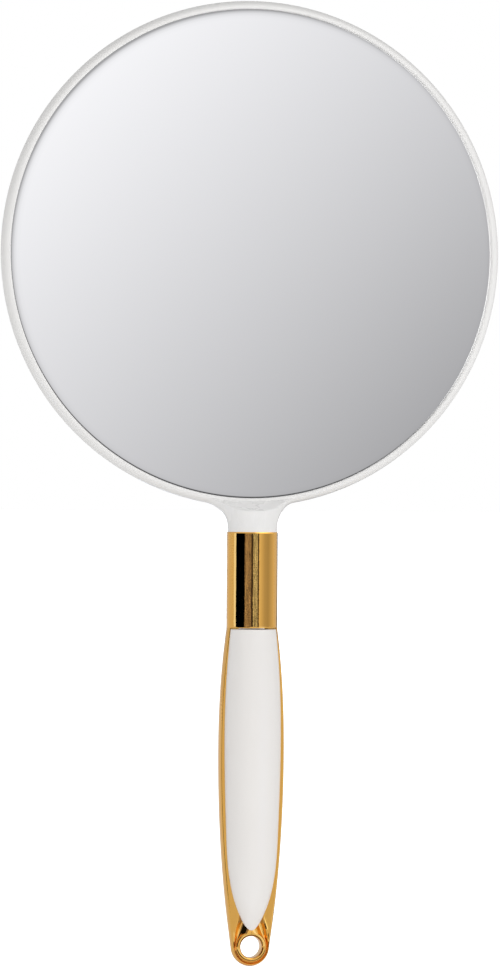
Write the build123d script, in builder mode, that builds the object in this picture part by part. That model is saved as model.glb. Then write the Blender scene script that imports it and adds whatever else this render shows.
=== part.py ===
from build123d import *
import os
from math import cos, radians, sin

# Hand mirror: a round glass in a white rim, on a round grip with gold side rails.
# Millimetres. +Z runs up the handle to the head, the mirror faces -Y, +X is its right side.
# The origin is on the handle's axis, half way up the grip, where a hand holds it.

# ---- head ----
HEAD_Z = 195.0  # centre of the mirror above the middle of the grip
HEAD_R = 94.0  # outside radius of the rim
HEAD_FRONT = 1.9  # the rim's front lip
HEAD_BACK = 11.1  # the back of the head, level with the back of the grip
WIDEST_Y = 6.3  # where the rim is widest
PARTING_Y = 6.5  # where the rim meets the back cover
OPENING_R = 90.9  # sight size of the mirror
LIP_CREST_R = 91.6  # most forward circle of the lip
LIP_DEPTH = 2.2  # how far the glass lies below the lip
SEAT_R = 91.8  # inside of the rim behind the lip
TONGUE_R = 92.8  # outside of the tongue that enters the back cover
TONGUE_END = 8.2
COVER_PLATE = 2.4  # thickness of the back cover's plate
COVER_EDGE_R = 90.0  # where the back cover's flat back begins to round over
SPIGOT_R = 90.2  # inside of the spigot that backs the glass
JOINT_GAP = 0.05

# ---- glass ----
GLASS_R = 91.6
GLASS_THICKNESS = 3.0
GLASS_BEVEL = 0.4
BACKING_THICKNESS = 0.1
PAD_R = 15.0
PAD_CIRCLE_R = 52.0
PAD_COUNT = 4

# ---- neck and tang ----
NECK_R = 9.2
NECK_FLARE_R = 7.0  # hollow curve on each side, from the neck to the rim
FLARE_FRONT = 3.2
FLARE_BACK = 9.2
SCOOP_R = 96.2  # the scoop above the neck reaches this far from the head's centre
WELD = 0.4  # how far the neck and its flares run into the rim
TANG_R = 7.3
BLADE_WIDTH = 10.0
BLADE_FRONT = -2.6
BLADE_BACK = 0.5
BLADE_END = 20.0

# ---- handle frame: collar, rails and hanging eye ----
COLLAR_R = 9.45
COLLAR_TOP = 91.7
COLLAR_BOTTOM = 56.0
COLLAR_BORE_R = 7.4
COLLAR_FLOOR = 58.0
COLLAR_EDGE = 0.5
RAIL_HALF = 3.4  # half the thickness of the rails, front to back
EYE_Z = -62.2
EYE_R = 4.0
EYE_END_R = 7.2
EYE_TAPER = 7.0  # degrees that each rail leans in where it runs into the round end
EYE_BEAD_R = 5.4
EYE_BEAD_ROUND = 0.6
EYE_POCKET_R = 6.3
EYE_POCKET_DEPTH = 0.9
SADDLE_FRONT = 0.6
SADDLE_BACK = 3.2
SADDLE_LOW = 24.0
SADDLE_HIGH = 50.0

# ---- grips ----
GRIP_TOP = 55.6
GRIP_TIP = -56.0
GRIP_WALL = 1.8
VOID_TOP = 54.0
VOID_TIP = -48.0
PEG_R = 1.5
PEG_HEIGHTS = (12.0, -10.0, -32.0)
PEG_END = 3.0
SOCKET_R = 3.0
SOCKET_FRONT = -1.5

# ---- screws ----
SCREW_HEIGHTS = (30.0, 44.0)
SCREW_R = 1.4
SCREW_HEAD_R = 2.7
SCREW_HEAD = 1.7
SCREW_END = -2.0
SCREW_CLEARANCE = 0.15
SCREW_SLOT = 0.7

# Half outlines in the XZ plane, as (distance from the axis, height), from the collar down.
RAIL_FLANK = [(COLLAR_R, COLLAR_BOTTOM), (11.5, 35.0), (12.2, 4.0), (11.0, -27.0), (8.75, -50.7)]
GRIP_FLANK = [(9.2, GRIP_TOP), (10.8, 33.0), (11.1, 8.0), (10.4, -19.0), (7.4, -45.0), (RAIL_HALF, GRIP_TIP)]

HEAD_PLANE = Plane.XY.offset(HEAD_Z)  # local X is the radius, local Y is front to back
HEAD_AXIS = Axis((0, 0, HEAD_Z), (0, 1, 0))
GLASS_FRONT = HEAD_FRONT + LIP_DEPTH
GLASS_BACK = GLASS_FRONT + GLASS_THICKNESS
BACKING_BACK = GLASS_BACK + BACKING_THICKNESS
PLATE_FRONT = HEAD_BACK - COVER_PLATE
FULL_HEIGHT = 400.0
FULL_WIDTH = 60.0

os.makedirs("parts", exist_ok=True)


def save(builder, name):
    builder.part.label = name
    export_step(builder.part, f"parts/{name}.step")


def front_plane(y):
    """Plane facing forward at depth y, with local X to the right and local Y up."""
    return Plane(origin=(0, y, 0), x_dir=(1, 0, 0), z_dir=(0, -1, 0))


def slab(front, back, low, high, width, mode):
    """Upright box from front to back and from low to high, centred on the axis."""
    with Locations((0, (front + back) / 2, (low + high) / 2)):
        Box(width, back - front, high - low, mode=mode)


def grip_spindle(wall):
    """The grip's round spindle, a given wall inside its outer surface."""
    with BuildPart() as spindle:
        with BuildSketch(Plane.XZ):
            with BuildLine():
                flank = Spline(*[(radius - wall, z) for radius, z in GRIP_FLANK])
                Polyline(flank @ 1, (0, GRIP_TIP), (0, GRIP_TOP), flank @ 0)
            make_face()
        revolve(axis=Axis.Z)
    return spindle.part


# ---- head frame: rim, neck and tang, one white moulding ----
with BuildPart() as head_frame:
    # neck and its two hollow flares
    with BuildSketch(Plane.XY.offset(COLLAR_TOP)):
        Circle(NECK_R)
    extrude(amount=HEAD_Z - OPENING_R - COLLAR_TOP)
    flare_x = NECK_R + NECK_FLARE_R
    flare_reach = HEAD_R + NECK_FLARE_R - WELD
    flare_z = HEAD_Z - (flare_reach**2 - flare_x**2) ** 0.5
    flare_top = flare_z + NECK_FLARE_R + WELD
    with BuildSketch(front_plane(FLARE_BACK)):
        with Locations((0, (flare_z + flare_top) / 2)):
            Rectangle(2 * flare_x, flare_top - flare_z)
        with Locations((flare_x, flare_z), (-flare_x, flare_z)):
            Circle(NECK_FLARE_R, mode=Mode.SUBTRACT)
    extrude(amount=FLARE_BACK - FLARE_FRONT)
    # clear the glass, the back cover and the scoop in front of the lip
    with BuildSketch(HEAD_PLANE):
        with BuildLine():
            scoop_foot = (SEAT_R + 1.5 * WELD, HEAD_FRONT + 1.5 * WELD)
            scoop = Polyline((0, -NECK_R - 1), (SCOOP_R, -NECK_R - 1), scoop_foot)
            seat = Polyline(scoop @ 1, (SEAT_R + WELD, scoop_foot[1]), (SEAT_R + WELD, PARTING_Y))
            Polyline(seat @ 1, (HEAD_R + JOINT_GAP, PARTING_Y), (HEAD_R + JOINT_GAP, WIDEST_Y + 1))
            cover_side = EllipticalCenterArc(
                (COVER_EDGE_R + JOINT_GAP, WIDEST_Y + 1),
                HEAD_R - COVER_EDGE_R,
                HEAD_BACK - WIDEST_Y - 1,
            )
            Polyline(cover_side @ 1, (0, HEAD_BACK), scoop @ 0)
        make_face()
    revolve(axis=HEAD_AXIS, mode=Mode.SUBTRACT)
    # rim
    with BuildSketch(HEAD_PLANE):
        with BuildLine():
            front_side = EllipticalCenterArc(
                (LIP_CREST_R, WIDEST_Y), HEAD_R - LIP_CREST_R, WIDEST_Y - HEAD_FRONT, start_angle=270
            )
            lip_edge = LIP_CREST_R - OPENING_R
            Polyline(
                front_side @ 1,
                (HEAD_R, PARTING_Y),
                (TONGUE_R, PARTING_Y),
                (TONGUE_R, TONGUE_END),
                (SEAT_R, TONGUE_END),
                (SEAT_R, GLASS_FRONT),
                (OPENING_R, GLASS_FRONT),
                (OPENING_R, HEAD_FRONT + lip_edge),
            )
            RadiusArc((OPENING_R, HEAD_FRONT + lip_edge), front_side @ 0, lip_edge)
        make_face()
    revolve(axis=HEAD_AXIS)
    # tang: a round plug in the collar, then a flat blade held by the screws
    with BuildSketch(Plane.XY.offset(COLLAR_FLOOR)):
        Circle(TANG_R)
    extrude(amount=COLLAR_TOP - COLLAR_FLOOR)
    slab(BLADE_FRONT, BLADE_BACK, BLADE_END, COLLAR_FLOOR, BLADE_WIDTH, Mode.ADD)
    with BuildSketch(front_plane(BLADE_BACK)):
        with Locations(*[(0, z) for z in SCREW_HEIGHTS]):
            Circle(SCREW_R)
    extrude(amount=BLADE_BACK - SCREW_END, mode=Mode.SUBTRACT)
save(head_frame, "head_frame")


# ---- back cover ----
with BuildPart() as back_cover:
    with BuildSketch(HEAD_PLANE):
        with BuildLine():
            cover_round = EllipticalCenterArc(
                (COVER_EDGE_R, PARTING_Y), HEAD_R - COVER_EDGE_R, HEAD_BACK - PARTING_Y
            )
            Polyline(
                cover_round @ 1,
                (0, HEAD_BACK),
                (0, PLATE_FRONT),
                (SPIGOT_R, PLATE_FRONT),
                (SPIGOT_R, BACKING_BACK),
                (SEAT_R - JOINT_GAP, BACKING_BACK),
                (SEAT_R - JOINT_GAP, TONGUE_END + JOINT_GAP),
                (TONGUE_R + JOINT_GAP, TONGUE_END + JOINT_GAP),
                (TONGUE_R + JOINT_GAP, PARTING_Y),
                cover_round @ 0,
            )
        make_face()
    revolve(axis=HEAD_AXIS)
save(back_cover, "back_cover")


# ---- mirror glass, with ground edges ----
with BuildPart() as mirror_glass:
    with BuildSketch(HEAD_PLANE):
        with Locations((GLASS_R / 2, (GLASS_FRONT + GLASS_BACK) / 2)):
            Rectangle(GLASS_R, GLASS_THICKNESS)
        ground_corners = vertices().group_by(Axis.X)[-1]
        chamfer(ground_corners, GLASS_BEVEL)
    revolve(axis=HEAD_AXIS)
save(mirror_glass, "mirror_glass")


# ---- silver coating and its protective paint, on the back of the glass ----
with BuildPart() as mirror_backing:
    with BuildSketch(front_plane(BACKING_BACK)):
        with Locations((0, HEAD_Z)):
            Circle(GLASS_R - GLASS_BEVEL)
    extrude(amount=BACKING_THICKNESS)
save(mirror_backing, "mirror_backing")


# ---- foam pads that bond the glass to the back cover ----
with BuildPart() as foam_pads:
    with BuildSketch(front_plane(PLATE_FRONT)):
        with Locations((0, HEAD_Z)):
            with PolarLocations(PAD_CIRCLE_R, PAD_COUNT, start_angle=45):
                Circle(PAD_R)
    extrude(amount=PLATE_FRONT - BACKING_BACK)
save(foam_pads, "foam_pads")


# ---- hollow inside the handle, shared by its three mouldings ----
with BuildPart() as grip_void:
    add(grip_spindle(GRIP_WALL))
    slab(-FULL_WIDTH / 2, FULL_WIDTH / 2, VOID_TIP, VOID_TOP, FULL_WIDTH, Mode.INTERSECT)


# ---- handle frame: collar, two side rails and hanging eye, one gold-plated moulding ----
with BuildPart() as handle_frame:
    with BuildSketch(Plane.XZ):
        with BuildLine():
            # the flank runs tangent into the round end about the eye
            lean = radians(EYE_TAPER)
            end_point = (EYE_END_R * cos(lean), EYE_Z - EYE_END_R * sin(lean))
            flank = Spline(*RAIL_FLANK, end_point, tangents=((0.13, -1), (-sin(lean), -cos(lean))))
            end = RadiusArc(end_point, (0, EYE_Z - EYE_END_R), EYE_END_R)
            Polyline(end @ 1, (0, COLLAR_BOTTOM), flank @ 0)
        make_face()
    revolve(axis=Axis.Z)
    slab(-RAIL_HALF, RAIL_HALF, -FULL_HEIGHT / 2, FULL_HEIGHT / 2, FULL_WIDTH, Mode.INTERSECT)
    add(grip_void.part, mode=Mode.SUBTRACT)
    slab(SADDLE_FRONT, SADDLE_BACK, SADDLE_LOW, SADDLE_HIGH, 2 * NECK_R, Mode.ADD)
    # collar
    with BuildSketch(Plane.XY.offset(COLLAR_BOTTOM)):
        Circle(COLLAR_R)
    extrude(amount=COLLAR_TOP - COLLAR_BOTTOM)
    collar_rim = edges().filter_by(GeomType.CIRCLE).group_by(Axis.Z)[-1]
    fillet(collar_rim, COLLAR_EDGE)
    with BuildSketch(Plane.XY.offset(COLLAR_FLOOR)):
        Circle(COLLAR_BORE_R)
    extrude(amount=COLLAR_TOP - COLLAR_FLOOR, mode=Mode.SUBTRACT)
    slab(BLADE_FRONT - 0.1, SADDLE_FRONT, BLADE_END, COLLAR_FLOOR, BLADE_WIDTH + 0.2, Mode.SUBTRACT)
    # pocket round the eye, with a raised bead at the hole, front and back
    for side in (-1, 1):
        face = Plane(origin=(0, side * RAIL_HALF, EYE_Z), x_dir=(1, 0, 0), z_dir=(0, side, 0))
        with BuildSketch(face):
            Circle(EYE_POCKET_R)
            Circle(EYE_BEAD_R, mode=Mode.SUBTRACT)
        extrude(amount=-EYE_POCKET_DEPTH, mode=Mode.SUBTRACT)
    with BuildSketch(Plane(origin=(0, -RAIL_HALF, EYE_Z), x_dir=(1, 0, 0), z_dir=(0, -1, 0))):
        Circle(EYE_R)
    extrude(amount=-2 * RAIL_HALF, mode=Mode.SUBTRACT)
    eye_edges = edges().filter_by(GeomType.CIRCLE).filter_by(lambda edge: abs(edge.radius - EYE_R) < 0.01)
    fillet(eye_edges, EYE_BEAD_ROUND)
    # screw holes in the saddle
    with BuildSketch(front_plane(SADDLE_BACK)):
        with Locations(*[(0, z) for z in SCREW_HEIGHTS]):
            Circle(SCREW_R + SCREW_CLEARANCE)
    extrude(amount=SADDLE_BACK - SADDLE_FRONT, mode=Mode.SUBTRACT)
save(handle_frame, "handle_frame")


# ---- front grip, with the pegs ----
with BuildPart() as front_grip:
    add(grip_spindle(0))
    add(grip_void.part, mode=Mode.SUBTRACT)
    slab(-FULL_WIDTH / 2, -RAIL_HALF, -FULL_HEIGHT / 2, FULL_HEIGHT / 2, FULL_WIDTH, Mode.INTERSECT)
    for peg_z in PEG_HEIGHTS:
        with BuildSketch(front_plane(PEG_END)):
            with Locations((0, peg_z)):
                Circle(PEG_R)
        extrude(until=Until.NEXT)
save(front_grip, "front_grip")


# ---- rear grip, with the sockets ----
with BuildPart() as rear_grip:
    add(grip_spindle(0))
    add(grip_void.part, mode=Mode.SUBTRACT)
    slab(RAIL_HALF, FULL_WIDTH / 2, -FULL_HEIGHT / 2, FULL_HEIGHT / 2, FULL_WIDTH, Mode.INTERSECT)
    for peg_z in PEG_HEIGHTS:
        with BuildSketch(front_plane(SOCKET_FRONT)):
            with Locations((0, peg_z)):
                Circle(SOCKET_R)
        extrude(until=Until.NEXT, dir=(0, 1, 0))
        with BuildSketch(front_plane(SOCKET_FRONT)):
            with Locations((0, peg_z)):
                Circle(PEG_R)
        extrude(amount=SOCKET_FRONT - PEG_END, mode=Mode.SUBTRACT)
save(rear_grip, "rear_grip")


# ---- screws that hold the tang, driven from behind ----
with BuildPart() as tang_screws:
    for screw_z in SCREW_HEIGHTS:
        shank_plane = Plane(origin=(0, SADDLE_BACK, screw_z), x_dir=(1, 0, 0), z_dir=(0, -1, 0))
        with BuildSketch(shank_plane):
            Circle(SCREW_R)
        extrude(amount=SADDLE_BACK - SCREW_END)
        with BuildSketch(shank_plane):
            Circle(SCREW_HEAD_R)
        extrude(amount=-SCREW_HEAD)
        with BuildSketch(shank_plane.offset(-SCREW_HEAD)):
            Rectangle(2 * SCREW_R, SCREW_SLOT)
            Rectangle(SCREW_SLOT, 2 * SCREW_R)
        extrude(amount=SCREW_HEAD / 2, mode=Mode.SUBTRACT)
save(tang_screws, "tang_screws")
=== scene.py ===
import math

import bmesh
import bpy
import numpy as np
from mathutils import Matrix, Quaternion, Vector


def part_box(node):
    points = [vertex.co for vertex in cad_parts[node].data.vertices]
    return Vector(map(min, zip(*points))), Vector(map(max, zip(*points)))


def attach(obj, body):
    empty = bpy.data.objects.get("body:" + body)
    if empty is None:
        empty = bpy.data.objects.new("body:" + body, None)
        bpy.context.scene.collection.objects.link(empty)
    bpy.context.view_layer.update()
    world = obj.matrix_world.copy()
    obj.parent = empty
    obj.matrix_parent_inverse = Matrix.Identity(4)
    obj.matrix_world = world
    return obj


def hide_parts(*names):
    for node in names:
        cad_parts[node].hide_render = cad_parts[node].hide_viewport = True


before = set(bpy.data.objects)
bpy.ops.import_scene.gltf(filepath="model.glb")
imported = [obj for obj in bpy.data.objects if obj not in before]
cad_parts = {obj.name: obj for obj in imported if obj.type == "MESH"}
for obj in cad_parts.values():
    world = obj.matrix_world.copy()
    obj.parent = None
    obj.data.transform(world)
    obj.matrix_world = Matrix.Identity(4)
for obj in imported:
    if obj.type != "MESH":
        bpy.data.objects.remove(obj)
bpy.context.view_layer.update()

# Shapes are worked out in millimetres and scaled when their mesh is made.
MM = 0.001


def box_mm(node):
    low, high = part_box(node)
    return low / MM, high / MM


# ---------------------------------------------------------------- places from the frame
glass_low, glass_high = box_mm("mirror_glass")
cover_low, cover_high = box_mm("back_cover")
rim_high = box_mm("head_frame")[1]
handle_low, handle_high = box_mm("handle_frame")
grip_low, grip_high = box_mm("front_grip")
pads_low, pads_high = box_mm("foam_pads")

HEAD_Z = (glass_low.z + glass_high.z) / 2
HEAD_R = rim_high.x
GLASS_R = glass_high.x
GLASS_FRONT = glass_low.y
GLASS_BACK = glass_high.y
HEAD_BACK = cover_high.y
PARTING_Y = cover_low.y
COLLAR_R = handle_high.y
COLLAR_TOP = handle_high.z
END_Z = handle_low.z
GRIP_TOP = grip_high.z
GRIP_TIP = grip_low.z

# ---------------------------------------------------------------- sizes of the visible detail
OPENING_R = 90.9
GLASS_CHAMFER = 0.4
LIP_ROUND = 0.7
LIP_FRONT = GLASS_FRONT - 2.2
WIDEST_Y = 6.3
RIM_ROUND = 2.4  # from the lip's crest out to the widest line
COVER_ROUND = 4.0
COVER_LAP = 1.2  # how far the cover goes in under the rim
NECK_R = 9.2
FLARE_R = 9.5
FLARE_X = NECK_R + FLARE_R
FLARE_Z = HEAD_Z - math.sqrt((HEAD_R + FLARE_R) ** 2 - FLARE_X**2)
FLARE_TURN = math.atan2(HEAD_Z - FLARE_Z, FLARE_X)  # how far round the flare's arc meets the rim
NECK_FOOT = COLLAR_TOP - 0.5
SCOOP_FOOT_R = 92.1
SCOOP_SLOPE = 3.0
COLLAR_BOTTOM = 56.0
COLLAR_EDGE = 0.5
RAIL_HALF = 3.4
EYE_END_R = 7.2
EYE_Z = END_Z + EYE_END_R
EYE_R = 4.0
EYE_TAPER = math.radians(7.0)
EYE_TOP = -54.0  # above this the rails' strips end under the grips
EYE_SHOULDER = -57.5  # below this they end at the bead
BEAD_R = 5.7
BEAD_HALF = RAIL_HALF - 0.05
BEAD_ROUND = 0.82
BEAD_SINK = 0.5  # how far the rails' strips go in under the bead
GROOVE_R = 5.85
GROOVE_LEAN = math.radians(17)
RAIL_FLANK = [(COLLAR_R, COLLAR_BOTTOM), (11.5, 35.0), (12.2, 4.0), (11.0, -27.0), (8.75, -50.7)]
GRIP_FLANK = [
    (9.2, GRIP_TOP),
    (10.8, 33.0),
    (11.1, 8.0),
    (10.4, -19.0),
    (7.4, -45.0),
    (RAIL_HALF, GRIP_TIP),
]
GRIP_EDGE = 0.25
GRIP_SEAT = 1.3  # the grip's side wall goes down into the frame to here
PAD_R = 15.0
PAD_EDGE = 0.15


# ---------------------------------------------------------------- mesh helpers
def smooth_step(value, start, end):
    t = min(max((value - start) / (end - start), 0.0), 1.0)
    return t * t * (3 - 2 * t)


def smooth_min(a, b, width):
    """The lower of two heights, rounded where they meet."""
    if width <= 0:
        return min(a, b)
    h = max(width - abs(a - b), 0.0) / width
    return min(a, b) - h * h * width / 4


def quarter_round(t):
    """Height of a rounded edge, from 0 at its foot to 1 where it has levelled out."""
    inward = 1 - min(max(t, 0.0), 1.0)
    return math.sqrt(max(0.0, 1 - inward * inward))


def spline_through(points, start, end, steps):
    """Points on the smooth curve through the given ones; start and end are its end directions."""
    p = np.array(points, float)
    n = len(p)
    h = np.linalg.norm(p[1:] - p[:-1], axis=1)
    system = np.zeros((n, n))
    right = np.zeros((n, 2))
    for i in range(1, n - 1):
        system[i, i - 1] = h[i]
        system[i, i] = 2 * (h[i - 1] + h[i])
        system[i, i + 1] = h[i - 1]
        right[i] = 3 * (h[i] * (p[i] - p[i - 1]) / h[i - 1] + h[i - 1] * (p[i + 1] - p[i]) / h[i])
    system[0, 0] = system[-1, -1] = 1
    right[0] = np.array(start) / np.linalg.norm(start)
    right[-1] = np.array(end) / np.linalg.norm(end)
    slope = np.linalg.solve(system, right)
    curve = []
    for i in range(n - 1):
        for t in np.linspace(0, 1, steps, endpoint=False):
            curve.append(
                (1 + 2 * t) * (1 - t) ** 2 * p[i]
                + t * (1 - t) ** 2 * h[i] * slope[i]
                + t * t * (3 - 2 * t) * p[i + 1]
                - t * t * (1 - t) * h[i] * slope[i + 1]
            )
    curve.append(p[-1])
    return np.array(curve)


def add_sheet(bm, rows, closed=False):
    """Faces between neighbouring rows of points. A closed sheet joins its last row to its first."""
    made = [[bm.verts.new(Vector(point) * MM) for point in row] for row in rows]
    if closed:
        made.append(made[0])
    for low, high in zip(made, made[1:]):
        for i in range(len(low) - 1):
            bm.faces.new((low[i], low[i + 1], high[i + 1], high[i]))


def revolved(profile, centre, steps):
    """Rows of a form turned about Y. The profile is (radius, place along the axis)."""
    x, y, z = centre
    rows = []
    for angle in np.linspace(0, 2 * math.pi, steps, endpoint=False):
        out, up = math.cos(angle), math.sin(angle)
        rows.append([(x + r * out, y + along, z + r * up) for r, along in profile])
    return rows


def make_piece(name, sheets, material, nodes, crease=40.0):
    """One smooth piece from its sheets, standing for its CAD nodes."""
    bm = bmesh.new()
    for rows, closed in sheets:
        add_sheet(bm, rows, closed)
    bmesh.ops.remove_doubles(bm, verts=bm.verts, dist=0.004 * MM)
    bmesh.ops.recalc_face_normals(bm, faces=bm.faces)
    mesh = bpy.data.meshes.new(name)
    bm.to_mesh(mesh)
    bm.free()
    mesh.shade_smooth()
    mesh.set_sharp_from_angle(angle=math.radians(crease))
    mesh.materials.append(material)
    piece = bpy.data.objects.new(name, mesh)
    bpy.context.scene.collection.objects.link(piece)
    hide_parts(*nodes)
    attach(piece, "root")
    return piece


def turned_piece(name, profile, centre, steps, material, node):
    """One piece turned about Y, standing for its CAD node."""
    sheets = [(revolved(profile, centre, steps), True)]
    make_piece(name, sheets, material, [node])


def arc(centre, radius_x, radius_y, start, end, steps):
    """Points on an ellipse's arc, angles in degrees."""
    angles = np.radians(np.linspace(start, end, steps))
    return [(centre[0] + radius_x * math.cos(a), centre[1] + radius_y * math.sin(a)) for a in angles]


# ---------------------------------------------------------------- material helpers
def new_material(name):
    material = bpy.data.materials.new(name)
    material.use_nodes = True
    nodes = material.node_tree.nodes
    return material, nodes, material.node_tree.links, nodes["Principled BSDF"]


def noise(nodes, links, place, scale, detail=4.0, stretch=(1, 1, 1)):
    """Noise over the object's own coordinates; the scale is in features per metre."""
    mapping = nodes.new("ShaderNodeMapping")
    mapping.inputs["Scale"].default_value = stretch
    links.new(place.outputs["Object"], mapping.inputs["Vector"])
    texture = nodes.new("ShaderNodeTexNoise")
    texture.inputs["Scale"].default_value = scale
    texture.inputs["Detail"].default_value = detail
    links.new(mapping.outputs["Vector"], texture.inputs["Vector"])
    return texture.outputs["Fac"]


def spread(nodes, links, value, low, high, start=0.3, end=0.7):
    """A value remapped to run from low to high."""
    remap = nodes.new("ShaderNodeMapRange")
    remap.inputs["From Min"].default_value = start
    remap.inputs["From Max"].default_value = end
    remap.inputs["To Min"].default_value = low
    remap.inputs["To Max"].default_value = high
    links.new(value, remap.inputs["Value"])
    return remap.outputs["Result"]


def chosen(nodes, links, switch, off, on):
    """One of two values, by a switch that is 0 or 1."""
    mix = nodes.new("ShaderNodeMix")
    links.new(switch, mix.inputs["Factor"])
    for value, socket in ((off, mix.inputs["A"]), (on, mix.inputs["B"])):
        if isinstance(value, float):
            socket.default_value = value
        else:
            links.new(value, socket)
    return mix.outputs["Result"]


def tint(nodes, links, value, low, high):
    """A colour between two, by a value."""
    mix = nodes.new("ShaderNodeMix")
    mix.data_type = "RGBA"
    mix.inputs["A"].default_value = (*low, 1)
    mix.inputs["B"].default_value = (*high, 1)
    links.new(value, mix.inputs["Factor"])
    return mix.outputs["Result"]


def bump(nodes, links, height, distance, strength, after=None):
    made = nodes.new("ShaderNodeBump")
    made.inputs["Strength"].default_value = strength
    made.inputs["Distance"].default_value = distance
    links.new(height, made.inputs["Height"])
    if after is not None:
        links.new(after, made.inputs["Normal"])
    return made.outputs["Normal"]


# ---------------------------------------------------------------- materials
# The mirror's roughness stays low enough for its rays to count as singular, and the gold's does not.
# The stage tells the two apart by that.
MIRROR_ROUGHNESS = (0.0005, 0.003)
GOLD_ROUGHNESS = (0.012, 0.035)


def white_plastic(name, dull, fresh, roughness):
    """Glossy moulded white plastic, slightly warm, with a faint skin texture and handling marks."""
    material, nodes, links, shader = new_material(name)
    place = nodes.new("ShaderNodeTexCoord")
    cloud = noise(nodes, links, place, 45.0)
    links.new(
        tint(nodes, links, cloud, dull, fresh),
        shader.inputs["Base Color"],
    )
    rubbed = noise(nodes, links, place, 160.0, 6.0, (1, 1, 0.35))
    links.new(spread(nodes, links, rubbed, *roughness), shader.inputs["Roughness"])
    skin = bump(nodes, links, noise(nodes, links, place, 1500.0, 2.0), 0.00002, 0.25)
    wave = bump(nodes, links, noise(nodes, links, place, 90.0, 1.0), 0.0003, 0.04, skin)
    links.new(wave, shader.inputs["Normal"])
    shader.inputs["IOR"].default_value = 1.5
    shader.inputs["Specular IOR Level"].default_value = 0.25
    return material


def gold_plating():
    """Bright gold plating on plastic: almost a mirror, with fine specks and lengthwise hairlines."""
    material, nodes, links, shader = new_material("gold_plating")
    place = nodes.new("ShaderNodeTexCoord")
    cloud = noise(nodes, links, place, 70.0)
    links.new(
        tint(nodes, links, cloud, (0.84, 0.455, 0.100), (0.88, 0.490, 0.122)),
        shader.inputs["Base Color"],
    )
    haze = noise(nodes, links, place, 240.0, 6.0, (1, 1, 0.3))
    links.new(spread(nodes, links, haze, *GOLD_ROUGHNESS), shader.inputs["Roughness"])
    hairs = bump(nodes, links, noise(nodes, links, place, 2600.0, 2.0, (1, 1, 0.03)), 0.000008, 0.25)
    specks = nodes.new("ShaderNodeTexVoronoi")
    specks.inputs["Scale"].default_value = 900.0
    links.new(place.outputs["Object"], specks.inputs["Vector"])
    dents = spread(nodes, links, specks.outputs["Distance"], 1.0, 0.0, 0.05, 0.22)
    dented = bump(nodes, links, dents, 0.00001, 0.25, hairs)
    grain = noise(nodes, links, place, 1500.0, 2.0)
    links.new(bump(nodes, links, grain, 0.00004, 0.25, dented), shader.inputs["Normal"])
    shader.inputs["Metallic"].default_value = 1.0
    return material


# Offsets of the mirror's painted dark ring and painted gap shadow, in millimetres.
RING_SHIFT = 0.75  # right and down
GAP_SHADOW_SHIFT_X = 0.25
GAP_SHADOW_SHIFT_Z = 0.5


def mirror_silver():
    """Silvered glass: a clean mirror with faint smears. The dark ring near its edge is a painted
    reflection of the lip, and the near-black line at the lip is painted shadow in the gap there.
    Both are set a little off centre, to suit the view from the front."""
    material, nodes, links, shader = new_material("mirror_silver")
    place = nodes.new("ShaderNodeTexCoord")
    out = nodes.new("ShaderNodeVectorMath")
    out.operation = "DISTANCE"
    out.inputs[1].default_value = (RING_SHIFT * MM, GLASS_FRONT * MM, (HEAD_Z - RING_SHIFT) * MM)
    links.new(place.outputs["Object"], out.inputs[0])
    # Painted reflection of the lip: the mirror darkens towards its edge.
    edge = nodes.new("ShaderNodeValToRGB")
    ramp = edge.color_ramp
    ramp.elements[0].position = 0.0
    ramp.elements[0].color = (0.955, 0.955, 0.955, 1)
    ramp.elements[1].position = 1.0
    ramp.elements[1].color = (0.36, 0.36, 0.36, 1)
    for position, shade in ((0.35, 0.93), (0.60, 0.84), (0.80, 0.64), (0.90, 0.44)):
        stop = ramp.elements.new(position)
        stop.color = (shade, shade, shade, 1)
    ring_start = (OPENING_R - 3.2) * MM
    ring_end = (OPENING_R + 0.7) * MM
    links.new(
        spread(nodes, links, out.outputs["Value"], 0.0, 1.0, ring_start, ring_end),
        edge.inputs["Fac"],
    )
    # Painted shadow: a thin near-black line where the glass meets the lip.
    gap = nodes.new("ShaderNodeVectorMath")
    gap.operation = "DISTANCE"
    gap.inputs[1].default_value = (GAP_SHADOW_SHIFT_X * MM, GLASS_FRONT * MM, (HEAD_Z + GAP_SHADOW_SHIFT_Z) * MM)
    links.new(place.outputs["Object"], gap.inputs[0])
    gap_start = (OPENING_R - 0.15) * MM
    gap_end = (OPENING_R + 0.05) * MM
    gap_shadow = spread(nodes, links, gap.outputs["Value"], 0.0, 0.80, gap_start, gap_end)
    with_gap_shadow = nodes.new("ShaderNodeMix")
    with_gap_shadow.data_type = "RGBA"
    with_gap_shadow.inputs["B"].default_value = (0.03, 0.03, 0.03, 1)
    links.new(gap_shadow, with_gap_shadow.inputs["Factor"])
    links.new(edge.outputs["Color"], with_gap_shadow.inputs["A"])
    links.new(with_gap_shadow.outputs["Result"], shader.inputs["Base Color"])
    smear = noise(nodes, links, place, 35.0, 5.0)
    links.new(spread(nodes, links, smear, *MIRROR_ROUGHNESS), shader.inputs["Roughness"])
    shader.inputs["Metallic"].default_value = 1.0
    return material


def ground_glass():
    """The glass's ground edge: grey-green and matt."""
    material, nodes, links, shader = new_material("ground_glass_edge")
    place = nodes.new("ShaderNodeTexCoord")
    grit = noise(nodes, links, place, 2200.0, 3.0)
    links.new(
        tint(nodes, links, grit, (0.10, 0.14, 0.12), (0.20, 0.26, 0.23)),
        shader.inputs["Base Color"],
    )
    links.new(spread(nodes, links, grit, 0.45, 0.7), shader.inputs["Roughness"])
    links.new(bump(nodes, links, grit, 0.00004, 0.5), shader.inputs["Normal"])
    return material


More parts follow.
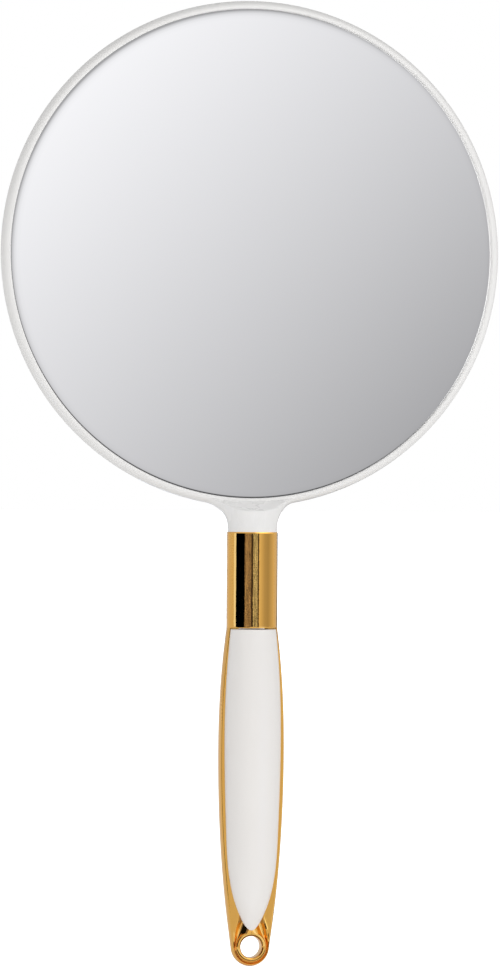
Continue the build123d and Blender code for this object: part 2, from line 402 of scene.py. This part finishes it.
def backing_paint():
    """Protective grey-brown paint on the silver."""
    material, nodes, links, shader = new_material("backing_paint")
    place = nodes.new("ShaderNodeTexCoord")
    streak = noise(nodes, links, place, 30.0, 5.0, (1, 1, 6))
    links.new(
        tint(nodes, links, streak, (0.20, 0.16, 0.13), (0.28, 0.23, 0.19)),
        shader.inputs["Base Color"],
    )
    links.new(spread(nodes, links, streak, 0.40, 0.60), shader.inputs["Roughness"])
    links.new(bump(nodes, links, streak, 0.00005, 0.3), shader.inputs["Normal"])
    return material


def pad_foam():
    """Closed-cell foam tape."""
    material, nodes, links, shader = new_material("pad_foam")
    place = nodes.new("ShaderNodeTexCoord")
    cells = nodes.new("ShaderNodeTexVoronoi")
    cells.inputs["Scale"].default_value = 2500.0
    links.new(place.outputs["Object"], cells.inputs["Vector"])
    links.new(
        tint(nodes, links, cells.outputs["Distance"], (0.52, 0.51, 0.49), (0.72, 0.71, 0.68)),
        shader.inputs["Base Color"],
    )
    links.new(spread(nodes, links, cells.outputs["Distance"], 0.95, 0.80), shader.inputs["Roughness"])
    links.new(bump(nodes, links, cells.outputs["Distance"], 0.0001, 0.6), shader.inputs["Normal"])
    return material


def screw_steel():
    """Plated steel with turning marks."""
    material, nodes, links, shader = new_material("screw_steel")
    place = nodes.new("ShaderNodeTexCoord")
    marks = noise(nodes, links, place, 3000.0, 3.0, (0.2, 1, 1))
    links.new(
        tint(nodes, links, marks, (0.45, 0.45, 0.46), (0.62, 0.62, 0.63)),
        shader.inputs["Base Color"],
    )
    links.new(spread(nodes, links, marks, 0.25, 0.45), shader.inputs["Roughness"])
    links.new(bump(nodes, links, marks, 0.00002, 0.4), shader.inputs["Normal"])
    shader.inputs["Metallic"].default_value = 1.0
    return material


rim_white = white_plastic("rim_plastic", (0.743, 0.735, 0.725), (0.763, 0.756, 0.746), (0.22, 0.32))
grip_white = white_plastic("grip_plastic", (0.745, 0.722, 0.700), (0.765, 0.744, 0.722), (0.30, 0.42))
gold = gold_plating()


# ---------------------------------------------------------------- head frame: rim and neck
def edge_distance(x, z):
    """How far a point of the head frame's outline lies inside it, and how far it is round the flare."""
    across = abs(x)
    if math.atan2(across, HEAD_Z - z) > math.pi / 2 - FLARE_TURN:
        return HEAD_R - math.hypot(x, z - HEAD_Z), FLARE_TURN
    if z < FLARE_Z:
        return NECK_R - across, 0.0
    turn = math.atan2(z - FLARE_Z, FLARE_X - across)
    return math.hypot(FLARE_X - across, z - FLARE_Z) - FLARE_R, min(turn, FLARE_TURN)


def toward_rim(turn):
    """0 on the neck, rising to 1 where the flare has become the rim."""
    return smooth_step(turn, math.radians(20), FLARE_TURN)


def front_depth(x, z):
    """Depth of the head frame's front surface."""
    out = math.hypot(x, z - HEAD_Z)
    lip = out - OPENING_R
    if lip < LIP_ROUND:
        return LIP_FRONT + LIP_ROUND - math.sqrt(max(0.0, LIP_ROUND**2 - (LIP_ROUND - lip) ** 2))
    inside, turn = edge_distance(x, z)
    share = toward_rim(turn)
    widest = WIDEST_Y * share
    reach = NECK_R + (RIM_ROUND - NECK_R) * share
    height = NECK_R + (WIDEST_Y - LIP_FRONT - NECK_R) * share
    proud = LIP_FRONT - widest + height * quarter_round(inside / reach)
    scoop = SCOOP_SLOPE * max(0.0, out - SCOOP_FOOT_R) + 0.25 * (out - OPENING_R - LIP_ROUND)
    return LIP_FRONT - smooth_min(proud, scoop, 1.2 * min(max(proud, 0.0), 1.0))


def back_depth(x, z):
    """Depth of the back of the neck, where it runs up to the back cover."""
    inside, turn = edge_distance(x, z)
    share = toward_rim(turn)
    reach = NECK_R + (0.2 - NECK_R) * share
    height = NECK_R + (PARTING_Y - WIDEST_Y - NECK_R) * share
    return WIDEST_Y * share + height * quarter_round(inside / reach)


def head_outline():
    """Half of the head frame's outline from the bottom of the neck to the top of the rim,
    each point with the angle about the head's centre where its strip meets the lip."""
    outline = []
    foot_angle = math.radians(5.2)
    side_angle = math.radians(6.2)
    rim_angle = math.pi / 2 - FLARE_TURN
    for t in np.linspace(0, math.pi / 2, 18):
        outline.append((NECK_R * math.sin(t), NECK_FOOT, foot_angle * math.sin(t)))
    for t in np.linspace(0, 1, 6)[1:-1]:
        outline.append(
            (NECK_R, NECK_FOOT + (FLARE_Z - NECK_FOOT) * t, foot_angle + (side_angle - foot_angle) * t)
        )
    for t in np.linspace(0, 1, 22):
        turn = FLARE_TURN * t
        outline.append(
            (
                FLARE_X - FLARE_R * math.cos(turn),
                FLARE_Z + FLARE_R * math.sin(turn),
                side_angle + (rim_angle - side_angle) * t,
            )
        )
    for angle in np.linspace(rim_angle, math.pi, 230)[1:]:
        outline.append((HEAD_R * math.sin(angle), HEAD_Z - HEAD_R * math.cos(angle), angle))
    return outline


FRONT_STEPS = 64
BACK_STEPS = 16


def head_strip(side, x, z, angle):
    """Points from the glass over the lip and the front to the outline, and round to the back cover."""
    lip_x = OPENING_R * math.sin(angle)
    lip_z = HEAD_Z - OPENING_R * math.cos(angle)
    length = math.hypot(x - lip_x, z - lip_z)
    strip = [(side * lip_x, GLASS_FRONT, lip_z)]
    places = list(LIP_ROUND * (1 - np.cos(np.linspace(0, math.pi / 2, 10))) / length)
    rest = 1 - LIP_ROUND / length
    places += [1 - rest * (1 - k / FRONT_STEPS) ** 1.8 for k in range(1, FRONT_STEPS + 1)]
    for t in places:
        px = lip_x + (x - lip_x) * t
        pz = lip_z + (z - lip_z) * t
        strip.append((side * px, front_depth(px, pz), pz))
    inward = (math.hypot(x, z - HEAD_Z) - HEAD_R + COVER_LAP) / length
    for k in range(BACK_STEPS + 1):
        t = 1 - inward * (k / BACK_STEPS) ** 2
        px = lip_x + (x - lip_x) * t
        pz = lip_z + (z - lip_z) * t
        strip.append((side * px, back_depth(px, pz), pz))
    return strip


right_half = [head_strip(1, *point) for point in head_outline()]
left_half = [head_strip(-1, *point) for point in head_outline()[1:-1]]
make_piece(
    "rim_and_neck", [(right_half + left_half[::-1], True)], rim_white, ["head_frame"]
)

# ---------------------------------------------------------------- back cover
head_centre = (0, 0, HEAD_Z)
seam_y = PARTING_Y + 0.02
wall_y = PARTING_Y + 0.2
cover_profile = [(HEAD_R - COVER_LAP, seam_y), (HEAD_R - 0.25, seam_y)]
corner_centre = (HEAD_R - COVER_ROUND, wall_y)
cover_profile += arc(corner_centre, COVER_ROUND - 0.05, HEAD_BACK - wall_y, 0, 90, 22)
cover_profile += [(r, HEAD_BACK) for r in (88.0, 70.0, 40.0, 12.0, 0.0)]
turned_piece("back_shell", cover_profile, head_centre, 360, rim_white, "back_cover")

# ---------------------------------------------------------------- mirror glass
glass_profile = [(r, GLASS_FRONT) for r in (0.0, 30.0, 60.0, 85.0, GLASS_R - GLASS_CHAMFER)]
turned_piece("mirror_face", glass_profile, head_centre, 360, mirror_silver(), "mirror_glass")
glass_edge_profile = [
    (GLASS_R - GLASS_CHAMFER, GLASS_FRONT),
    (GLASS_R, GLASS_FRONT + GLASS_CHAMFER),
    (GLASS_R, GLASS_BACK - GLASS_CHAMFER),
    (GLASS_R - GLASS_CHAMFER, GLASS_BACK),
    (60.0, GLASS_BACK),
    (0.0, GLASS_BACK),
]
turned_piece("mirror_edge", glass_edge_profile, head_centre, 240, ground_glass(), "mirror_glass")

# ---------------------------------------------------------------- collar
collar_rows = []
for angle in np.linspace(0, 2 * math.pi, 192, endpoint=False):
    facing = abs(math.sin(angle)) * COLLAR_R
    cut = COLLAR_EDGE if facing > RAIL_HALF else 0.0
    profile = [(NECK_R - 1.5, COLLAR_TOP)]
    top_corner = (COLLAR_R - COLLAR_EDGE, COLLAR_TOP - COLLAR_EDGE)
    profile += arc(top_corner, COLLAR_EDGE, COLLAR_EDGE, 90, 0, 8)
    profile += [(COLLAR_R, z) for z in (COLLAR_TOP - 0.6, COLLAR_TOP - 0.8, COLLAR_TOP - 3)]
    profile += [(COLLAR_R, z) for z in (COLLAR_BOTTOM + 3, COLLAR_BOTTOM + 0.8, COLLAR_BOTTOM + 0.6)]
    profile += arc((COLLAR_R - cut, COLLAR_BOTTOM + cut), cut, cut, 0, -90, 8)
    profile += [(COLLAR_R - 3.0, COLLAR_BOTTOM)]
    collar_rows.append([(r * math.cos(angle), r * math.sin(angle), z) for r, z in profile])
make_piece("collar", [(collar_rows, True)], gold, ["handle_frame"])


# ---------------------------------------------------------------- rails and hanging eye
def eye_groove(x, z):
    """How far a point lies outside the teardrop groove round the eye.
    The groove's sides run up under the grip's tip."""
    over = z - EYE_Z - GROOVE_R * math.sin(GROOVE_LEAN)
    if over < 0:
        return math.hypot(x, z - EYE_Z) - GROOVE_R
    side = GROOVE_R * math.cos(GROOVE_LEAN) - math.tan(GROOVE_LEAN) * over
    return (abs(x) - side) * math.cos(GROOVE_LEAN)


def rail_depth(inside, curve_r, x, z):
    """How far the frame's surface stands from the middle plane."""
    side = math.sqrt(max(0.0, 2 * curve_r * inside - inside * inside))
    level = smooth_min(side, RAIL_HALF, 0.6)
    out = eye_groove(x, z)
    above = smooth_step(z, EYE_Z + 1.0, EYE_Z + 7.0)
    fade = 1 - smooth_step(z, -50.0, -40.0)
    width = 0.55 + 0.75 * above if out > 0 else 1.0 + 1.0 * above
    dip = (1.3 + 0.6 * above) * math.exp(-((out / width) ** 2))
    return level - dip * fade


end_point = (EYE_END_R * math.cos(EYE_TAPER), EYE_Z - EYE_END_R * math.sin(EYE_TAPER))
flank = spline_through(
    RAIL_FLANK + [end_point], (0.13, -1), (-math.sin(EYE_TAPER), -math.cos(EYE_TAPER)), 36
)
end_arc = arc((0, EYE_Z), EYE_END_R, EYE_END_R, -math.degrees(EYE_TAPER), -90, 60)[1:]
rail_outline = np.array(list(flank) + end_arc)

# where each stretch of the outline's strips ends, inside: (height on the outline, inner point)
INNER_KEYS = [
    (COLLAR_BOTTOM, (5.5, COLLAR_BOTTOM)),
    (20.0, (7.0, 20.0)),
    (-30.0, (6.0, -31.0)),
    (-44.0, (4.0, -46.0)),
    (-50.0, (1.5, -53.0)),
    (EYE_TOP, (0.0, -55.0)),
]


def inner_point(x, z):
    """Where the strip from an outline point ends: under the grips, on the centre line or at the bead."""
    if z > EYE_TOP:
        heights = [key[0] for key in INNER_KEYS[::-1]]
        inner_x = np.interp(z, heights, [key[1][0] for key in INNER_KEYS[::-1]])
        inner_z = np.interp(z, heights, [key[1][1] for key in INNER_KEYS[::-1]])
        return inner_x, inner_z
    reach = BEAD_R - BEAD_SINK
    if z > EYE_SHOULDER:
        return 0.0, np.interp(z, [EYE_SHOULDER, EYE_TOP], [EYE_Z + reach, INNER_KEYS[-1][1][1]])
    if z > end_point[1]:
        angle = np.interp(z, [end_point[1], EYE_SHOULDER], [-10.0, 90.0])
    else:
        angle = np.interp(math.degrees(math.atan2(z - EYE_Z, x)), [-90.0, -7.0], [-90.0, -10.0])
    return reach * math.cos(math.radians(angle)), EYE_Z + reach * math.sin(math.radians(angle))


def rail_strip(side, front, x, z):
    """Points from the outline inward, close together over the first millimetre, where it curves most."""
    inner_x, inner_z = inner_point(x, z)
    length = math.hypot(x - inner_x, z - inner_z)
    curve_r = max(EYE_END_R, x)
    near = [(k / 22) ** 2 for k in range(23)]
    far = [1.0 + (length - 1.0) * k / 40 for k in range(1, 41)]
    strip = []
    for along in near + far:
        t = along / length
        px = x + (inner_x - x) * t
        pz = z + (inner_z - z) * t
        if z > EYE_TOP:
            inside = np.interp(pz, flank[::-1, 1], flank[::-1, 0]) - px
        else:
            inside = min(EYE_END_R - math.hypot(px, pz - EYE_Z), along) if pz < EYE_Z else along
        strip.append((side * px, -front * rail_depth(inside, curve_r, px, pz), pz))
    return strip


rail_sheets = []
for side in (1, -1):
    for front in (1, -1):
        rail_sheets.append(([rail_strip(side, front, x, z) for x, z in rail_outline], False))
make_piece("side_rails", rail_sheets, gold, ["handle_frame"])

# raised bead round the hanging hole, through the whole thickness
bead_profile = [(BEAD_R, 0.0)]
bead_profile += arc((BEAD_R - BEAD_ROUND, BEAD_HALF - BEAD_ROUND), BEAD_ROUND, BEAD_ROUND, 0, 90, 12)
bead_profile += arc((EYE_R + BEAD_ROUND, BEAD_HALF - BEAD_ROUND), BEAD_ROUND, BEAD_ROUND, 90, 180, 12)
bead_profile += [(r, -y) for r, y in bead_profile[::-1]]
turned_piece("eye_bead", bead_profile, (0, 0, EYE_Z), 160, gold, "handle_frame")

# ---------------------------------------------------------------- grips
first_chord = np.array(GRIP_FLANK[1]) - np.array(GRIP_FLANK[0])
last_chord = np.array(GRIP_FLANK[-1]) - np.array(GRIP_FLANK[-2])
grip_flank = spline_through(GRIP_FLANK, first_chord + (0.6, 0), last_chord - (0.6, 0), 24)


def grip_row(front, radius, z):
    """One section of the grip across its front, from one side wall to the other."""
    half = math.asin(min(1.0, math.sqrt(max(0.0, radius**2 - RAIL_HALF**2)) / radius))
    edge_x = radius * math.sin(half)
    row = [(-edge_x, -GRIP_SEAT), (-edge_x, -RAIL_HALF + 0.1)]
    for angle in np.linspace(-half, half, 49):
        row.append((radius * math.sin(angle), -radius * math.cos(angle)))
    row += [(edge_x, -RAIL_HALF + 0.1), (edge_x, -GRIP_SEAT)]
    return [(x, front * y, z) for x, y in row]


def grip_rows(front):
    """The grip from its top end, rounded over towards the collar, down to its tip."""
    rows = []
    heights = grip_flank[::-1, 1]
    radii = grip_flank[::-1, 0]
    for t in np.linspace(0, math.pi / 2, 8):
        drop = GRIP_EDGE * (1 - math.cos(t))
        pulled = GRIP_EDGE * (1 - math.sin(t))
        z = GRIP_TOP - drop
        rows.append(grip_row(front, np.interp(z, heights, radii) - pulled, z))
    start = GRIP_TOP - GRIP_EDGE
    for t in np.linspace(0, 1, 160)[1:]:
        z = start + (GRIP_TIP - start) * (1 - (1 - t) ** 2.2)
        rows.append(grip_row(front, max(RAIL_HALF, np.interp(z, heights, radii)), z))
    rows.insert(0, [(x, front * -GRIP_SEAT, z) for x, y, z in rows[0]])
    return rows


make_piece("grip_front", [(grip_rows(1), False)], grip_white, ["front_grip"], 50)
make_piece("grip_rear", [(grip_rows(-1), False)], grip_white, ["rear_grip"], 50)

# ---------------------------------------------------------------- hidden parts keep their CAD meshes
for node, material in (
    ("mirror_backing", backing_paint()),
    ("tang_screws", screw_steel()),
):
    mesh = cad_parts[node].data
    mesh.materials.clear()
    mesh.materials.append(material)

# foam pads between the backing and the back cover
pad_front, pad_back = pads_low.y, pads_high.y
pad_reach = pads_high.x - PAD_R
pad_profile = [(0.0, pad_front), (PAD_R - PAD_EDGE, pad_front), (PAD_R, pad_front + PAD_EDGE)]
pad_profile += [(PAD_R, pad_back - PAD_EDGE), (PAD_R - PAD_EDGE, pad_back), (0.0, pad_back)]
pad_sheets = []
for side in (1, -1):
    for rise in (1, -1):
        centre = (side * pad_reach, 0, HEAD_Z + rise * pad_reach)
        pad_sheets.append((revolved(pad_profile, centre, 48), True))
pads = make_piece("glass_pads", pad_sheets, pad_foam(), ["foam_pads"])

# ---------------------------------------------------------------- studio
def add_card(name, mesh, material):
    """A card that only reflections see."""
    mesh.materials.append(material)
    card = bpy.data.objects.new(name, mesh)
    bpy.context.scene.collection.objects.link(card)
    card.visible_camera = False
    card.visible_diffuse = False
    card.visible_shadow = False
    card.visible_transmission = False


def card_material(name):
    """Light from a card. The last two it gives are the sockets for the light's colour, and for the
    card's cover, which is 0 where the card is see-through."""
    material = bpy.data.materials.new(name)
    material.cycles.emission_sampling = "NONE"
    material.use_nodes = True
    nodes = material.node_tree.nodes
    links = material.node_tree.links
    nodes.clear()
    output = nodes.new("ShaderNodeOutputMaterial")
    emission = nodes.new("ShaderNodeEmission")
    clear = nodes.new("ShaderNodeBsdfTransparent")
    mix = nodes.new("ShaderNodeMixShader")
    links.new(clear.outputs[0], mix.inputs[1])
    links.new(emission.outputs[0], mix.inputs[2])
    links.new(mix.outputs[0], output.inputs["Surface"])
    return material, nodes, links, emission.inputs["Color"], mix.inputs["Fac"]


def seen_in_mirror(nodes):
    """1 for what the mirror reflects, 0 for everything else."""
    return nodes.new("ShaderNodeLightPath").outputs["Is Singular Ray"]


def keep_from_mirror(nodes, links, cover):
    """Makes a card see-through in the mirror."""
    links.new(spread(nodes, links, seen_in_mirror(nodes), 1.0, 0.0, 0.0, 1.0), cover)


def multiplied(nodes, links, a, b):
    product = nodes.new("ShaderNodeMath")
    product.operation = "MULTIPLY"
    links.new(a, product.inputs[0])
    links.new(b, product.inputs[1])
    return product.outputs[0]


# The panel that only the mirror shows, in front of it and to its right, in metres.
PANEL_Y = -1.0
PANEL_X = (-0.02, 0.40)
PANEL_Z = (0.02, 0.44)
PANEL_FADE = 0.04
PANEL_SLANT = (-0.21, 0.17)  # x less z, where the panel is lightest and darkest


def mirror_panel():
    """A soft white-to-grey slope, see-through at its edges and to all but the mirror."""
    mesh = bpy.data.meshes.new("mirror_panel")
    corners = [(PANEL_X[i], PANEL_Y, PANEL_Z[k]) for i, k in ((0, 0), (1, 0), (1, 1), (0, 1))]
    mesh.from_pydata(corners, [], [(0, 1, 2, 3)])
    material, nodes, links, colour, cover = card_material("mirror_panel")
    place = nodes.new("ShaderNodeTexCoord")
    split = nodes.new("ShaderNodeSeparateXYZ")
    links.new(place.outputs["Object"], split.inputs[0])
    slant = nodes.new("ShaderNodeMath")
    slant.operation = "SUBTRACT"
    links.new(split.outputs["X"], slant.inputs[0])
    links.new(split.outputs["Z"], slant.inputs[1])
    ramp = nodes.new("ShaderNodeValToRGB")
    stops = ramp.color_ramp.elements
    stops[0].color = (0.955, 0.955, 0.980, 1)
    stops[1].color = (0.380, 0.380, 0.392, 1)
    links.new(spread(nodes, links, slant.outputs[0], 0.0, 1.0, *PANEL_SLANT), ramp.inputs["Fac"])
    links.new(ramp.outputs["Color"], colour)
    total = seen_in_mirror(nodes)
    for axis, (low, high) in (("X", PANEL_X), ("Z", PANEL_Z)):
        for start, end in ((low, low + PANEL_FADE), (high, high - PANEL_FADE)):
            fade = spread(nodes, links, split.outputs[axis], 0.0, 1.0, start, end)
            total = multiplied(nodes, links, total, fade)
    links.new(total, cover)
    add_card("mirror_panel", mesh, material)


mirror_panel()

# Upright strips stand round the object. The collar's and the rails' make the dark and bright bands in
# the gold, and the rim's show in its gloss. They suit the view from the front.
# Each is (start, end, brightness at the start, at the end, colour), in degrees to the right of the
# camera as seen from above. Reach and heights are in metres.
STRIP_REACH = 0.15
STRIP_POINTS = 9  # along each strip, so that it bends round
CAMERA_TURN = math.radians(10.8)  # the camera stands this far to the object's left
NEUTRAL = (1.0, 1.0, 1.0)
PALE = (1.0, 1.22, 1.9)
BROWN = (1.0, 0.92, 1.15)
OLIVE = (0.95, 1.12, 1.50)
COLLAR_HEIGHTS = (0.050, 0.101)
COLLAR_STRIPS = [
    (-88, -76, 1.0, 1.0, PALE),
    (-76, -33, 0.00, 0.00, NEUTRAL),
    (-33, -27, 0.10, 0.42, BROWN),
    (-27, -4, 0.32, 0.28, BROWN),
    (-4, 5, 0.06, 0.06, BROWN),
    (5, 25, 0.50, 0.46, OLIVE),
    (25, 31, 0.08, 0.08, BROWN),
    (31, 40, 0.90, 0.76, NEUTRAL),
    (40, 58, 0.76, 0.52, NEUTRAL),
    (58, 76, 0.52, 0.45, NEUTRAL),
    (76, 94, 0.45, 0.60, NEUTRAL),
    (94, 116, 0.60, 0.78, NEUTRAL),
    (148, 164, 0.02, 0.02, NEUTRAL),
    (164, 184, 0.32, 0.28, BROWN),
    (184, 190, 0.06, 0.06, BROWN),
    (190, 206, 0.50, 0.55, OLIVE),
]
RAIL_HEIGHTS = (-0.16, 0.050)
RAIL_STRIPS = [
    (-74, -36, 0.01, 0.01, NEUTRAL),
    (-36, -8, 0.20, 0.26, BROWN),
    (34, 62, 1.15, 1.15, PALE),
    (148, 170, 0.02, 0.02, NEUTRAL),
]
RIM_HEIGHTS = (0.115, 0.40)
RIM_STRIPS = [
    (8, 30, 0.80, 2.60, NEUTRAL),
    (30, 70, 2.60, 2.60, NEUTRAL),
    (70, 110, 2.60, 1.80, NEUTRAL),
]


def upright_strip(name, heights, start, end, level_start, level_end, colour):
    """One strip. Brown and olive ones are broken up by thin level flecks."""
    corners = []
    glows = []
    for height in heights:
        for t in np.linspace(0, 1, STRIP_POINTS):
            angle = math.radians(start + (end - start) * t) - CAMERA_TURN
            corners.append((STRIP_REACH * math.sin(angle), -STRIP_REACH * math.cos(angle), height))
            level = level_start + (level_end - level_start) * t
            glows.append((level * colour[0], level * colour[1], level * colour[2], 1.0))
    faces = [(i, i + 1, i + 1 + STRIP_POINTS, i + STRIP_POINTS) for i in range(STRIP_POINTS - 1)]
    mesh = bpy.data.meshes.new(name)
    mesh.from_pydata(corners, [], faces)
    glow = mesh.color_attributes.new("glow", "FLOAT_COLOR", "POINT")
    for item, shown in zip(glow.data, glows):
        item.color = shown
    material, nodes, links, emitted, cover = card_material(name)
    keep_from_mirror(nodes, links, cover)
    source = nodes.new("ShaderNodeVertexColor")
    source.layer_name = "glow"
    if colour in (NEUTRAL, PALE):
        links.new(source.outputs["Color"], emitted)
    else:
        place = nodes.new("ShaderNodeTexCoord")
        flecks = noise(nodes, links, place, 90.0, 3.0, (1, 1, 22))
        product = nodes.new("ShaderNodeVectorMath")
        product.operation = "MULTIPLY"
        links.new(source.outputs["Color"], product.inputs[0])
        links.new(spread(nodes, links, flecks, 0.10, 2.4, 0.42, 0.62), product.inputs[1])
        links.new(product.outputs[0], emitted)
    add_card(name, mesh, material)


for place_name, heights, strips in (
    ("collar", COLLAR_HEIGHTS, COLLAR_STRIPS),
    ("rail", RAIL_HEIGHTS, RAIL_STRIPS),
    ("rim", RIM_HEIGHTS, RIM_STRIPS),
):
    for number, strip in enumerate(strips):
        upright_strip(f"{place_name}_strip_{number}", heights, *strip)

SHELF_HALF = 0.030
SHELF_HEIGHT = (END_Z + 0.5) * MM


def eye_shelf(name, near, far, glow):
    """A small card at the height of the hanging eye's lower end, for the slopes that face down."""
    places = ((-SHELF_HALF, far), (SHELF_HALF, far), (SHELF_HALF, near), (-SHELF_HALF, near))
    mesh = bpy.data.meshes.new(name)
    mesh.from_pydata([(x, y, SHELF_HEIGHT) for x, y in places], [], [(0, 1, 2, 3)])
    material, nodes, links, emitted, cover = card_material(name)
    keep_from_mirror(nodes, links, cover)
    emitted.default_value = (*glow, 1)
    add_card(name, mesh, material)


eye_shelf("eye_shelf_dark", -0.006, -0.030, (0.10, 0.08, 0.08))
eye_shelf("eye_shelf_bright", -0.030, -0.060, (1.25, 1.50, 1.90))

# floor, under the object's lower end; how much it glows depends on the kind of ray that meets it
FLOOR_REACH = 40.0
floor_corners = []
for x_side, y_side in ((-1, -1), (1, -1), (1, 1), (-1, 1)):
    floor_corners.append((x_side * FLOOR_REACH, y_side * FLOOR_REACH, END_Z * MM))
floor_mesh = bpy.data.meshes.new("floor")
floor_mesh.from_pydata(floor_corners, [], [(0, 1, 2, 3)])
floor_material, floor_nodes, floor_links, floor_shader = new_material("studio_floor")
floor_material.cycles.emission_sampling = "NONE"
floor_place = floor_nodes.new("ShaderNodeTexCoord")
floor_cloud = noise(floor_nodes, floor_links, floor_place, 3.0)
floor_links.new(
    tint(floor_nodes, floor_links, floor_cloud, (0.88, 0.88, 0.88), (0.90, 0.90, 0.90)),
    floor_shader.inputs["Base Color"],
)
floor_shader.inputs["Roughness"].default_value = 0.9
floor_shader.inputs["Emission Color"].default_value = (1, 1, 1, 1)
floor_path = floor_nodes.new("ShaderNodeLightPath")
glow_in_mirror = spread(floor_nodes, floor_links, floor_cloud, 0.0, 0.40)
glow = chosen(floor_nodes, floor_links, floor_path.outputs["Is Camera Ray"], 0.32, 0.95)
glow = chosen(floor_nodes, floor_links, floor_path.outputs["Is Glossy Ray"], glow, 0.15)
glow = chosen(floor_nodes, floor_links, floor_path.outputs["Is Singular Ray"], glow, glow_in_mirror)
floor_links.new(glow, floor_shader.inputs["Emission Strength"])
floor_shader.inputs["Specular IOR Level"].default_value = 0.0
floor_mesh.materials.append(floor_material)
floor = bpy.data.objects.new("floor", floor_mesh)
bpy.context.scene.collection.objects.link(floor)

# Soft light with no lamps: from the front and below, fading overhead, and from a patch behind and above.
# What the gold and the mirror reflect is set apart from it, by the kind of ray.
LIGHT_TOWARD = Vector((0.14, -0.86, -0.49)).normalized()
world = bpy.data.worlds.new("studio")
bpy.context.scene.world = world
world.use_nodes = True
sky_nodes = world.node_tree.nodes
sky_links = world.node_tree.links
background = sky_nodes["Background"]
sky_place = sky_nodes.new("ShaderNodeTexCoord")
toward = sky_nodes.new("ShaderNodeVectorMath")
toward.operation = "DOT_PRODUCT"
toward.inputs[1].default_value = LIGHT_TOWARD
sky_links.new(sky_place.outputs["Generated"], toward.inputs[0])
front_light = spread(sky_nodes, sky_links, toward.outputs["Value"], 0.0, 2.42, -0.857, 1.0)
sky_parts = sky_nodes.new("ShaderNodeSeparateXYZ")
sky_links.new(sky_place.outputs["Generated"], sky_parts.inputs[0])
overhead = spread(sky_nodes, sky_links, sky_parts.outputs["Z"], 1.0, 0.35, 0.2, 0.9)
front_light = multiplied(sky_nodes, sky_links, front_light, overhead)
back_light = spread(sky_nodes, sky_links, toward.outputs["Value"], 1.7, 0.0, -1.0, -0.72)
both = sky_nodes.new("ShaderNodeMath")
both.operation = "ADD"
sky_links.new(front_light, both.inputs[0])
sky_links.new(back_light, both.inputs[1])
reflected = spread(sky_nodes, sky_links, toward.outputs["Value"], 0.62, 0.98, -1.0, 1.0)
across = sky_nodes.new("ShaderNodeVectorMath")
across.operation = "DOT_PRODUCT"
across.inputs[1].default_value = (7.0, 0.0, -7.0)
sky_links.new(sky_place.outputs["Generated"], across.inputs[0])
sway = sky_nodes.new("ShaderNodeMath")
sway.operation = "SINE"
sky_links.new(across.outputs["Value"], sway.inputs[0])
mirrored = spread(sky_nodes, sky_links, sway.outputs[0], 0.92, 0.50, -1.0, 1.0)
ray = sky_nodes.new("ShaderNodeLightPath")
by_gloss = chosen(sky_nodes, sky_links, ray.outputs["Is Glossy Ray"], both.outputs[0], reflected)
by_mirror = chosen(sky_nodes, sky_links, ray.outputs["Is Singular Ray"], by_gloss, mirrored)
seen = sky_nodes.new("ShaderNodeMath")
seen.operation = "MAXIMUM"
sky_links.new(by_mirror, seen.inputs[0])
sky_links.new(ray.outputs["Is Camera Ray"], seen.inputs[1])
sky_links.new(seen.outputs[0], background.inputs["Strength"])
background.inputs["Color"].default_value = (1, 1, 1, 1)

# ---------------------------------------------------------------- camera
CAMERA_DISTANCE = 2.5
CAMERA_RIGHT = -0.00098
CAMERA_UP = -0.0006
CAMERA_ROLL = math.radians(0.365)
LENS_LENGTH = 250.6
AIM = Vector((0, 0, 0.110))
right = Vector((math.cos(CAMERA_TURN), -math.sin(CAMERA_TURN), 0))
forward = Vector((math.sin(CAMERA_TURN), math.cos(CAMERA_TURN), 0))
camera_data = bpy.data.cameras.new("camera")
camera_data.sensor_width = 36.0
camera_data.lens = LENS_LENGTH
camera_data.clip_start = 0.1
camera_data.clip_end = 200.0
camera = bpy.data.objects.new("camera", camera_data)
bpy.context.scene.collection.objects.link(camera)
camera.location = AIM - forward * CAMERA_DISTANCE + right * CAMERA_RIGHT + Vector((0, 0, CAMERA_UP))
upright = forward.to_track_quat("-Z", "Y")
camera.rotation_mode = "QUATERNION"
camera.rotation_quaternion = upright @ Quaternion((0, 0, 1), CAMERA_ROLL)
bpy.context.scene.camera = camera

bpy.context.scene.view_settings.view_transform = "Standard"
bpy.context.scene.view_settings.look = "None"
bpy.context.scene.cycles.use_denoising = True
